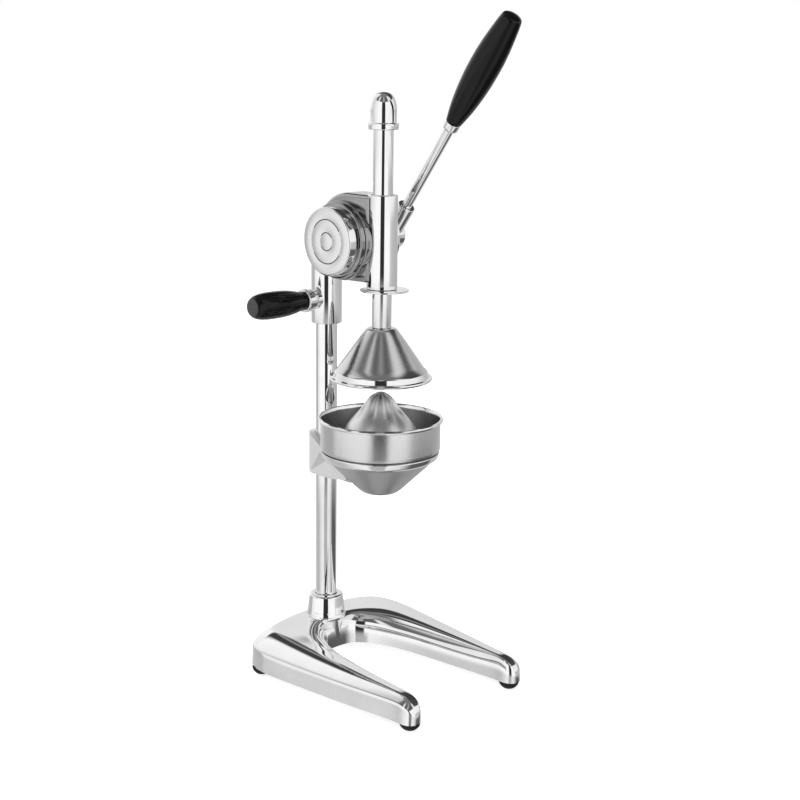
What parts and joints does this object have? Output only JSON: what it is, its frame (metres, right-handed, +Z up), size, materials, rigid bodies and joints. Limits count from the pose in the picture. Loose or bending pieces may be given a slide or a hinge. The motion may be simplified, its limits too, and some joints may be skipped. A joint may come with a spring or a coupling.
{
  "type": "lever citrus juice press",
  "caption": "Free-standing lever press that squeezes halved citrus between a geared bell and a reamer in a strainer cup, draining through a funnel into a glass.",
  "frame": {"origin": "centre of the footprint, on the surface that the rubber feet stand on", "axes": "+Z up along column and press rod; -Y towards the user, where the two legs point; +X to the user's right, where the press lever is"},
  "size_m": [0.208, 0.245, 0.6762],
  "materials": {
    "chrome": "polished chrome plate on castings and bars",
    "satin_steel": "satin stainless sheet, finely bead-blasted",
    "cast_metal": "silver satin casting",
    "black_plastic": "black moulded plastic with a soft sheen",
    "rubber": "black rubber",
    "bronze": "plain turned bearing bronze",
    "machined_steel": "plain machined steel",
    "spring_steel": "dark tempered strip"
  },
  "bodies": {
    "stand": {"base": "chrome", "column": "chrome", "head_casting": "chrome", "gear_cover": "chrome", "guard_disc": "chrome", "handle_ferrule": "chrome", "funnel": "satin_steel", "strainer_cup": "satin_steel", "reamer": "satin_steel", "spring_cover": "satin_steel", "bowl_bracket": "cast_metal", "handle_grip": "black_plastic", "foot_front_left": "rubber", "foot_front_right": "rubber", "foot_rear_left": "rubber", "foot_rear_right": "rubber", "upper_rod_bush": "bronze", "lower_rod_bush": "bronze", "left_shaft_bush": "bronze", "right_shaft_bush": "bronze", "column_washer": "machined_steel", "column_bolt": "machined_steel", "bracket_screw": "machined_steel", "funnel_screw_left": "machined_steel", "funnel_screw_right": "machined_steel", "head_screw_lower": "machined_steel", "head_screw_upper": "machined_steel", "cover_screw_1": "machined_steel", "cover_screw_2": "machined_steel", "cover_screw_3": "machined_steel", "cover_screw_4": "machined_steel", "spring_pin": "machined_steel", "handle_stud": "machined_steel", "return_spring": "spring_steel"},
    "lever": {"pinion_shaft": "machined_steel", "pinion": "machined_steel", "pinion_key": "machined_steel", "lever_hub": "chrome", "hub_pin": "machined_steel", "lever_pin": "machined_steel", "lever_rod": "chrome", "lever_ferrule": "chrome", "lever_grip": "black_plastic"},
    "ram": {"press_rod": "chrome", "rod_cap": "chrome", "bell": "satin_steel", "bell_washer": "machined_steel", "bell_nut": "machined_steel"}
  },
  "joints": [
    {"name": "lever_turn", "type": "hinge", "parent": "stand", "child": "lever", "pos_m": [0, 0.04724, 0.45435], "axis": [1, 0, 0], "range_deg": [-62, 84], "stiffness_Nm_per_rad": 0.45, "springref_deg": -56.15},
    {"name": "rod_slide", "type": "slide", "parent": "stand", "child": "ram", "axis": [0, 0, 1], "range_m": [-0.0449, 0.0332]}
  ],
  "couplings": [
    {"joint": "rod_slide", "follows": "lever_turn", "m_per_rad": -0.0305}
  ]
}
